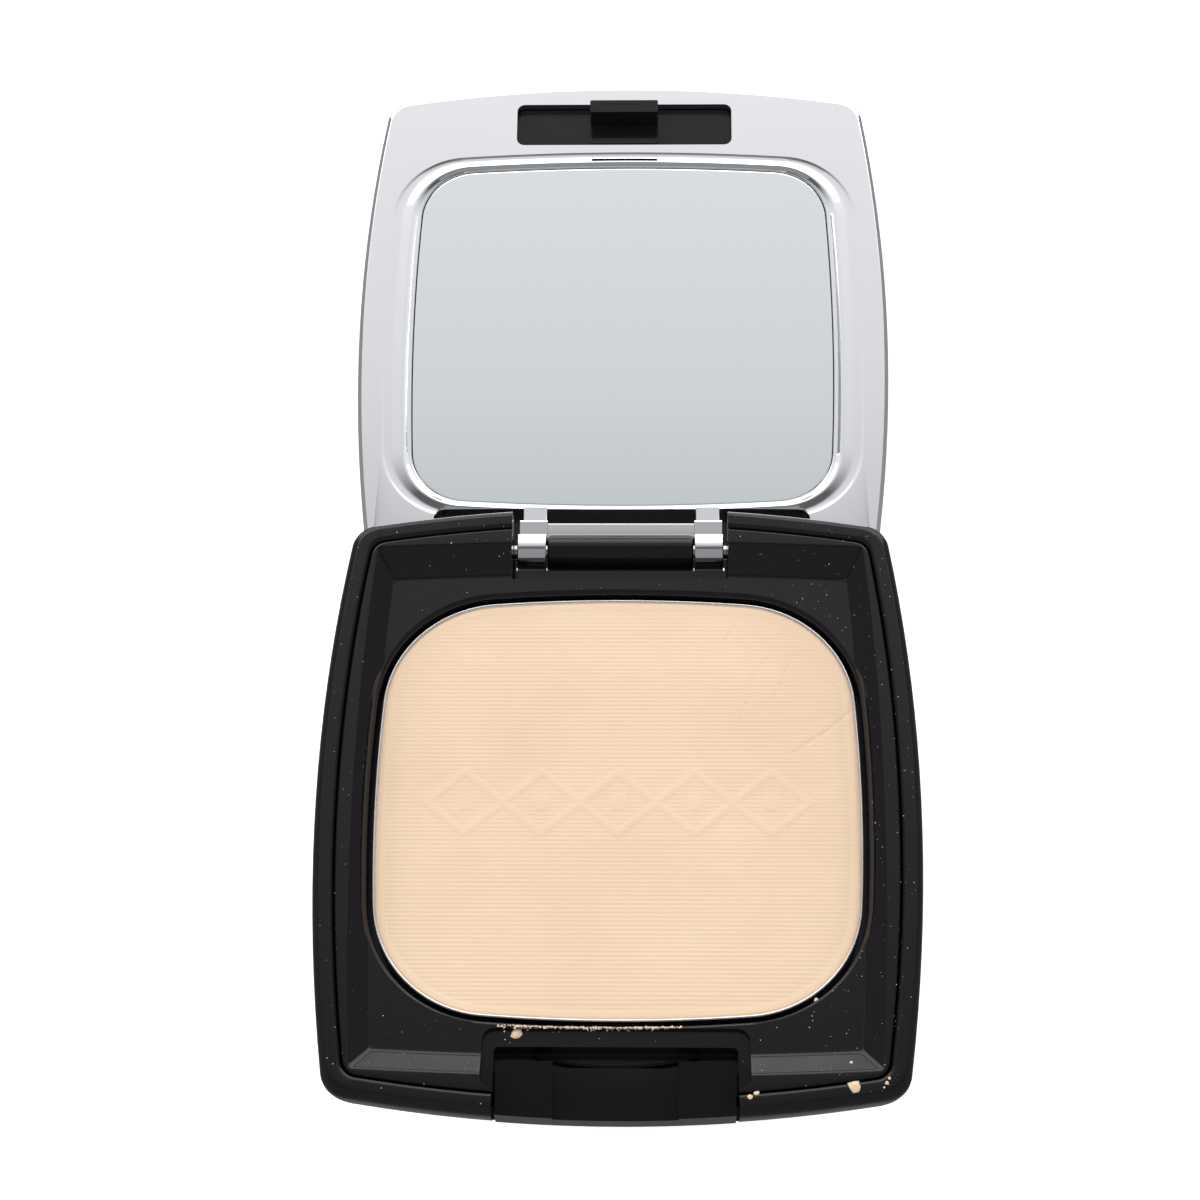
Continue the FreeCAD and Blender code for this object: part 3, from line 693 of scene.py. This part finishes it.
def powder_cake():
    """The pressed cake: a fine grid over the pan, closed by a wall and a floor."""
    cake = dict(PAN)
    for key, times in (("width", 2), ("length", 2), ("side", 1), ("end", 1), ("corner", 1)):
        cake[key] -= times * (PAN_WALL - 0.02)
    row_step = RIDGE_PITCH / 4
    columns = 226
    reach = cake["length"] / 2 - 0.02
    rows = np.arange(-int(reach / row_step), int(reach / row_step) + 1) * row_step
    rows = np.concatenate([[-reach], rows, [reach]])
    widths = np.array([max(half_width(cake, y), 0.3) for y in rows])
    x = widths[:, None] * np.linspace(-1.0, 1.0, columns)[None, :]
    y = np.repeat(rows[:, None], columns, axis=1)
    depth = edge_depth(cake, x, y)
    z = cake_heights(x, y, depth)
    count_y, count_x = x.shape
    top = np.stack([x, y, z], axis=-1).reshape(-1, 3).tolist()
    faces = []
    for row in range(count_y - 1):
        for column in range(count_x - 1):
            a = row * count_x + column
            faces.append((a, a + 1, a + count_x + 1, a + count_x))
    rim = [row * count_x + count_x - 1 for row in range(count_y)]
    rim += [(count_y - 1) * count_x + column for column in range(count_x - 2, -1, -1)]
    rim += [row * count_x for row in range(count_y - 2, -1, -1)]
    rim += list(range(1, count_x - 1))
    base = len(top)
    under = PAN_UNDER + PAN_WALL + 0.05
    vertices = top + [(top[i][0], top[i][1], under) for i in rim]
    count = len(rim)
    for i in range(count):
        j = (i + 1) % count
        faces.append((rim[i], rim[j], base + j, base + i))
    faces.append(tuple(base + i for i in range(count)))
    piece = new_piece("powder_cake", vertices, faces)
    piece.data.polygons.foreach_set("use_smooth", [True] * len(piece.data.polygons))
    piece.data.set_sharp_from_angle(angle=math.radians(60))
    return finish_piece(piece, "base", POWDER, ["pressed_powder"])


# ---------------------------------------------------------------- push button
def push_button():
    half, back, radius = 12.8, -30.2, BASE["end"] - 0.45
    bottom, top = 11.15, 14.6
    thumb_half, thumb_front = 6.7, -33.4
    centre_y = BASE["end"] - BASE["length"] / 2
    swing = math.asin(half / radius)
    steps = 24
    front = []
    for step in range(steps + 1):
        angle = -0.5 * math.pi - swing + 2 * swing * step / steps
        front.append((radius * math.cos(angle), centre_y + radius * math.sin(angle)))
    outline = front + [(half, back), (-half, back)]
    piece = slab("push_button_body", outline, bottom, top)
    lowered = slab("lowered", rounded_box(-thumb_half, thumb_half, -FAR, -20.0, 0.4), 14.0, HIGH)
    thumb = slab("thumb", rounded_box(-thumb_half, thumb_half, thumb_front, -20.0, 0.4), 12.0, HIGH)
    carve(piece, [lowered, thumb])
    lean = math.tan(math.radians(7.0))
    for vertex in piece.data.vertices:
        forward = back - vertex.co.y / MM
        lift = (vertex.co.z / MM - bottom) / (top - bottom)
        vertex.co.z -= forward * lean * lift * MM
    soften(piece, 0.22, segments=3)
    return finish_piece(piece, "button", BLACK, ["push_button"])


# ---------------------------------------------------------------- lid
def lid_outline(inset):
    return moved_in(BASE, LID_INSET + inset, max(BASE["corner"] - 0.5 * inset, 1.2))


def lid_frame():
    """Chrome plate with a rounded edge, a stepped bezel and the mirror's seat."""
    crown = 0.7
    levels = [
        (moved_in(GLASS, -0.02, shift=MIRROR_SHIFT), PLATE_TOP),
        (lid_outline(0.35), PLATE_TOP),
        (lid_outline(0.0), PLATE_TOP - 0.2),
        (lid_outline(0.0), PLATE_UNDER + crown),
    ]
    levels += [(lid_outline(i), PLATE_UNDER + crown - up) for i, up in list(quarter(7, crown))[1:]]
    # share of the way from the bezel's outline to the glass, and drop below the plate's face
    bezel = [
        (-0.04, 0.0), (0.0, 0.01), (0.05, 0.06), (0.10, 0.10), (0.28, 0.115), (0.33, 0.105),
        (0.40, 0.07), (0.60, -0.07), (0.66, -0.10), (0.71, -0.095), (0.76, -0.05),
        (0.85, 0.11), (0.89, 0.145), (0.96, 0.15), (0.985, 0.20), (1.0, 0.42),
    ]
    for share, drop in bezel:
        levels.append((between(BEZEL, GLASS, share, MIRROR_SHIFT), PLATE_UNDER + drop))
    piece = stacked_ring("lid_frame_plate", levels)
    window = slab("window", rounded_box(-14.0, 14.0, -33.4, -27.2, 1.0), 10.0, 30.0)
    rear = slab("rear", rounded_box(-REAR_HALF, REAR_HALF, 25.1, 33.0, 1.3), 10.0, 30.0)
    relief_start = 12.45
    reliefs = [
        relief_cutter("relief_right", relief_start, FAR),
        relief_cutter("relief_left", -FAR, -relief_start),
    ]
    carve(piece, [window, rear, *reliefs])
    soften(piece, 0.09)
    return finish_piece(piece, "lid", CHROME, ["lid_frame"])


def stacked_ring(name, levels):
    """Like stacked, but the last outline joins the first, so the middle stays open."""
    vertices = [(x, y, z) for outline, z in levels for x, y in outline]
    count = len(levels[0][0])
    total = len(levels)
    faces = []
    for level in range(total):
        above = (level + 1) % total
        for i in range(count):
            j = (i + 1) % count
            faces.append((level * count + i, level * count + j, above * count + j, above * count + i))
    return new_piece(name, vertices, faces)


def relief_cutter(name, left, right):
    """A round cutter that clears the base's rear wall beside the hinge."""
    steps, radius = 48, 6.1
    turns = [2 * math.pi * step / steps for step in range(steps)]
    profile = [(AXIS.y + radius * math.cos(t), AXIS.z + radius * math.sin(t)) for t in turns]
    return along_x(name, profile, left, right)


def knuckle(name, left, right):
    """One chrome hinge arm: pad, rib and the curl that holds the pin."""
    profile = [(28.0, 17.8), (28.0, 15.75), (28.2, 15.5), (28.2, 12.3), (28.4, 12.15), (31.2, 12.32)]
    profile.append((31.2, AXIS.z + 0.6))
    for step in range(21):
        angle = math.pi * (1 + step / 20)
        profile.append((
            AXIS.y + BARREL_RADIUS * math.cos(angle),
            AXIS.z + BARREL_RADIUS * math.sin(angle),
        ))
    profile.append((AXIS.y + BARREL_RADIUS, 15.9))
    profile.append((34.6, 17.8))
    piece = along_x(name, profile, left, right)
    middle, half = (left + right) / 2, (right - left) / 2 - 0.25
    pad = slab("pad", rounded_box(middle - half, middle + half, 25.0, 29.0, 0.25), 15.2, 17.8)
    carve(piece, [pad], "UNION")
    soften(piece, 0.16, segments=3)
    return finish_piece(piece, "lid", CHROME)


def hinge_web():
    """The bar between the arms."""
    profile = [(27.5, 16.2), (27.5, 14.7), (29.3, 14.8), (29.3, 16.2)]
    piece = along_x("hinge_web", profile, -9.0, 9.0)
    soften(piece, 0.15, segments=3)
    return finish_piece(piece, "lid", CHROME)


def lid_cover():
    """The low domed outside of the lid."""
    wall, crown_inset, steps = 0.15, 9.0, 24
    rise = COVER_TOP - PLATE_TOP - wall
    levels = [(lid_outline(0.35), PLATE_TOP), (lid_outline(0.0), PLATE_TOP + wall)]
    for step in range(1, steps + 1):
        turn = 0.5 * math.pi * step / steps
        inset = crown_inset * (1 - math.cos(turn)) ** 1.15
        height = PLATE_TOP + wall + rise * math.sin(turn) ** 0.9
        levels.append((moved_in(BASE, LID_INSET + inset, BASE["corner"] + inset), height))
    piece = stacked("lid_cover_dome", levels)
    soften(piece, 0.06)
    return finish_piece(piece, "lid", BLACK, ["lid_cover"])


def mirror():
    """The glass, with a small ground edge round its face."""
    profile = [(0.35, 0.0), (0.12, 0.03), (0.05, 0.12), (0.05, 1.2)]
    levels = [(moved_in(GLASS, i, shift=MIRROR_SHIFT), MIRROR_FACE + z) for i, z in profile]
    piece = stacked("mirror_plate", levels)
    soften(piece, 0.0, angle=20.0)
    return finish_piece(piece, "lid", GLASS_MIRROR, ["mirror"])


def catch_hook():
    """The black bar across the lid's window with its hook."""
    half, tip = 4.4, 13.0
    piece = slab("catch_hook_bar", rounded_box(-13.9, 13.9, -33.3, -27.3, 0.9), 17.0, PLATE_TOP)
    block = slab("block", rounded_box(-half, half, -33.0, -27.6, 0.3), 16.1, 17.4)
    shank = slab("shank", rounded_box(-half, half, -31.7, -30.4, 0.2), tip, 17.2)
    nose = slab("nose", rounded_box(-half, half, -32.2, -31.5, 0.2), tip, tip + 0.8)
    carve(piece, [block, shank, nose], "UNION")
    soften(piece, 0.12, segments=3)
    return finish_piece(piece, "lid", BLACK, ["catch_hook"])


# ---------------------------------------------------------------- crumbs and dust
def lump(vertices, faces, centre, radius, flat, rng):
    """Adds a small rough lump that sits on its centre point."""
    start = len(vertices)
    rings, sides = 4, 7
    for ring in range(rings):
        lift = ring / (rings - 1)
        around = math.cos(0.5 * math.pi * lift * 0.93)
        for side in range(sides):
            angle = 2 * math.pi * side / sides
            reach = radius * around * rng.uniform(0.75, 1.2)
            vertices.append((
                centre[0] + reach * math.cos(angle),
                centre[1] + reach * math.sin(angle),
                centre[2] + radius * flat * lift * rng.uniform(0.85, 1.1),
            ))
    for ring in range(rings - 1):
        for side in range(sides):
            a = start + ring * sides + side
            b = start + ring * sides + (side + 1) % sides
            faces.append((a, b, b + sides, a + sides))
    faces.append(tuple(reversed(range(start, start + sides))))
    faces.append(tuple(range(start + (rings - 1) * sides, start + rings * sides)))


# x, y and radius
CRUMB_SPOTS = [
    (-10.7, -26.9, 0.70), (25.2, -33.1, 0.72), (27.6, -32.1, 0.34), (14.2, -34.3, 0.30),
    (14.9, -33.9, 0.36), (28.6, -32.7, 0.22), (28.9, -32.2, 0.18), (28.3, -33.2, 0.14),
    (25.0, -30.3, 0.22), (21.6, -23.0, 0.26), (23.2, 21.1, 0.20), (23.8, 20.6, 0.16),
    (22.6, 21.7, 0.14), (-12.0, -26.6, 0.14), (-11.9, -27.5, 0.10),
]


def surface_under(pieces):
    """One search tree over the given pieces, in metres."""
    vertices, faces = [], []
    for piece in pieces:
        start = len(vertices)
        vertices += [piece.matrix_world @ v.co for v in piece.data.vertices]
        faces += [tuple(start + i for i in p.vertices) for p in piece.data.polygons]
    return BVHTree.FromPolygons(vertices, faces)


def height_at(tree, x, y):
    hit = tree.ray_cast(Vector((x * MM, y * MM, 0.03)), Vector((0, 0, -1)))
    return None if hit[0] is None else hit[0].z / MM


def crumbs(tree):
    """Loose crumbs at chosen spots, and a thin smear of powder in front of the pan."""
    rng = random.Random(11)
    smear_left, smear_run, smear_y, smear_count = -12.8, 19.8, -26.20, 420
    vertices, faces = [], []
    for x, y, radius in CRUMB_SPOTS:
        height = height_at(tree, x, y)
        if height is not None:
            lump(vertices, faces, (x, y, height - 0.03), radius, 0.55, rng)
    for _ in range(smear_count):
        along = rng.uniform(0.0, 1.0)
        x = smear_left + smear_run * along
        y = smear_y + rng.gauss(0.0, 0.07) - 0.12 * math.sin(math.pi * along)
        height = height_at(tree, x, y)
        if height is not None:
            lump(vertices, faces, (x, y, height - 0.02), rng.uniform(0.05, 0.15), 0.22, rng)
    piece = new_piece("powder_crumbs", vertices, faces)
    piece.data.polygons.foreach_set("use_smooth", [True] * len(piece.data.polygons))
    return finish_piece(piece, "base", CRUMB)


def dust_specks(tree):
    """Fine dust on the black plastic, thicker on the right-hand side."""
    rng = random.Random(5)
    wanted, dusty_from, lowest = 260, 20.0, 10.5
    vertices, faces = [], []
    placed = 0
    while placed < wanted:
        x = rng.uniform(-33.0, 33.0)
        y = rng.uniform(-36.0, 36.0)
        if rng.random() > 0.35 + 0.65 * (x > dusty_from):
            continue
        inside_pan = edge_depth(PAN, np.array(x), np.array(y)) > -0.9
        on_base = edge_depth(BASE, np.array(x), np.array(y)) > 0.8
        on_button = abs(x) < NOTCH_HALF and y < -28.0
        if inside_pan or on_button or not on_base:
            continue
        height = height_at(tree, x, y)
        if height is None or height < lowest:
            continue
        radius = 0.035 + 0.05 * rng.random() ** 3
        lump(vertices, faces, (x, y, height - 0.01), radius, 0.8, rng)
        placed += 1
    piece = new_piece("dust_specks", vertices, faces)
    return finish_piece(piece, "base", DUST)


def dress_cad_nodes():
    """Finishes for the hidden CAD nodes that stay as they are."""
    finishes = {
        "hinge_pin": ("steel_pin", STEEL),
        "button_spring": ("black_satin", SATIN),
        "pan_glue": ("adhesive", GLUE),
        "mirror_tape": ("adhesive", GLUE),
    }
    for name, (slot, material) in finishes.items():
        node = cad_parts[name]
        node.data.materials.clear()
        node.data.materials.append(material)


# ---------------------------------------------------------------- studio
def add_floor():
    """Pale, softly luminous table, as over a light box."""
    half, level = 3.0, -0.0002
    corners = [(-half, -half), (half, -half), (half, half), (-half, half)]
    mesh = bpy.data.meshes.new("floor")
    mesh.from_pydata([(x, y, level) for x, y in corners], [], [(0, 1, 2, 3)])
    floor = bpy.data.objects.new("floor", mesh)
    bpy.context.scene.collection.objects.link(floor)
    paper = new_material(
        "white_paper",
        Base_Color=(0.90, 0.90, 0.90, 1.0),
        Roughness=0.9,
        Emission_Color=(1.0, 1.0, 1.0, 1.0),
        Emission_Strength=0.68,
    )
    mesh.materials.append(paper)
    floor.visible_glossy = False


def add_panel(name, place, target, width, height, glow, mirrored=True):
    """A soft box of the given radiance; mirrored says if gloss shows it."""
    light = bpy.data.lights.new(name, "AREA")
    light.shape = "RECTANGLE"
    light.size = width
    light.size_y = height
    light.energy = glow * math.pi * width * height
    lamp = bpy.data.objects.new(name, light)
    lamp.location = place
    lamp.rotation_euler = (Vector(target) - Vector(place)).to_track_quat("-Z", "Y").to_euler()
    lamp.visible_glossy = mirrored
    bpy.context.scene.collection.objects.link(lamp)


def add_ceiling():
    """A lit card overhead, bright towards the back and dark over the front."""
    half_x, front, back, height = 0.62, -0.05, 0.75, 0.90
    mesh = bpy.data.meshes.new("ceiling_card")
    corners = [(-half_x, front), (-half_x, back), (half_x, back), (half_x, front)]
    mesh.from_pydata([(x, y, height) for x, y in corners], [], [(0, 1, 2, 3)])
    card = bpy.data.objects.new("ceiling_card", mesh)
    bpy.context.scene.collection.objects.link(card)
    paper = new_material("lit_card", Base_Color=(0.0, 0.0, 0.0, 1.0), Emission_Color=(0.97, 0.985, 1.0, 1.0))
    place = add_node(paper, "ShaderNodeTexCoord")
    split = add_node(paper, "ShaderNodeSeparateXYZ")
    link(paper, place.outputs["Object"], split.inputs["Vector"])
    share = spread(paper, split.outputs["Y"], 0.0, back, 0.0, 1.0)
    glow = add_node(paper, "ShaderNodeValToRGB")
    # share of the way back, and radiance
    stops = [(0.15, 0.10), (0.36, 0.43), (0.44, 0.54), (0.60, 0.72), (0.85, 0.84)]
    while len(glow.color_ramp.elements) < len(stops):
        glow.color_ramp.elements.new(0.5)
    for element, (position, level) in zip(glow.color_ramp.elements, stops):
        element.position = position
        element.color = (level, level, level, 1.0)
    link(paper, share, glow.inputs["Fac"])
    shader = paper.node_tree.nodes["Principled BSDF"]
    link(paper, glow.outputs["Color"], shader.inputs["Emission Strength"])
    mesh.materials.append(paper)


def add_lights():
    aim = (0.0, 0.02, 0.01)
    add_panel("rear_box", (0.0, 0.92, 0.80), aim, 1.5, 0.75, 2.5)
    add_panel("rear_wall", (0.0, 1.35, 0.21), aim, 2.4, 0.40, 2.5)
    add_panel("side_left", (-0.80, 0.05, 0.45), aim, 0.5, 0.6, 5.0, mirrored=False)
    add_panel("side_right", (0.80, 0.05, 0.45), aim, 0.5, 0.6, 4.0, mirrored=False)
    add_panel("front_fill", (-0.10, -0.75, 0.60), aim, 0.8, 0.4, 2.5, mirrored=False)


def add_world():
    world = bpy.data.worlds.new("soft_white")
    world.use_nodes = True
    background = world.node_tree.nodes["Background"]
    background.inputs["Color"].default_value = (0.96, 0.98, 1.0, 1.0)
    background.inputs["Strength"].default_value = 0.28
    bpy.context.scene.world = world


def add_camera():
    elevation, azimuth, roll = math.radians(63.001), math.radians(2.901), math.radians(-2.547)
    back = Vector((
        math.sin(azimuth) * math.cos(elevation),
        -math.cos(azimuth) * math.cos(elevation),
        math.sin(elevation),
    ))
    right = (-back).cross(Vector((0, 0, 1))).normalized()
    up = right.cross(-back)
    turned_right = right * math.cos(roll) + up * math.sin(roll)
    turned_up = up * math.cos(roll) - right * math.sin(roll)
    data = bpy.data.cameras.new("camera")
    data.lens = 77.28
    data.sensor_width = 36.0
    data.clip_start = 0.01
    data.clip_end = 20.0
    camera = bpy.data.objects.new("camera", data)
    turn = Matrix((turned_right, turned_up, back)).transposed().to_4x4()
    camera.matrix_world = Matrix.Translation((0.004608, -0.110678, 0.280868)) @ turn
    bpy.context.scene.collection.objects.link(camera)
    bpy.context.scene.camera = camera


# ---------------------------------------------------------------- build
shell = base_shell()
deck_piece = deck()
catch_tray()
hinge_barrel()
powder_pan()
powder_cake()
button = push_button()
lid_frame()
knuckle("hinge_arm_right", KNUCKLE_INNER, KNUCKLE_OUTER)
knuckle("hinge_arm_left", -KNUCKLE_OUTER, -KNUCKLE_INNER)
hinge_web()
lid_cover()
mirror()
catch_hook()
tree = surface_under([shell, deck_piece, button])
crumbs(tree)
dust_specks(tree)
dress_cad_nodes()

add_floor()
add_world()
add_ceiling()
add_lights()
add_camera()
bpy.context.scene.view_settings.view_transform = "Standard"
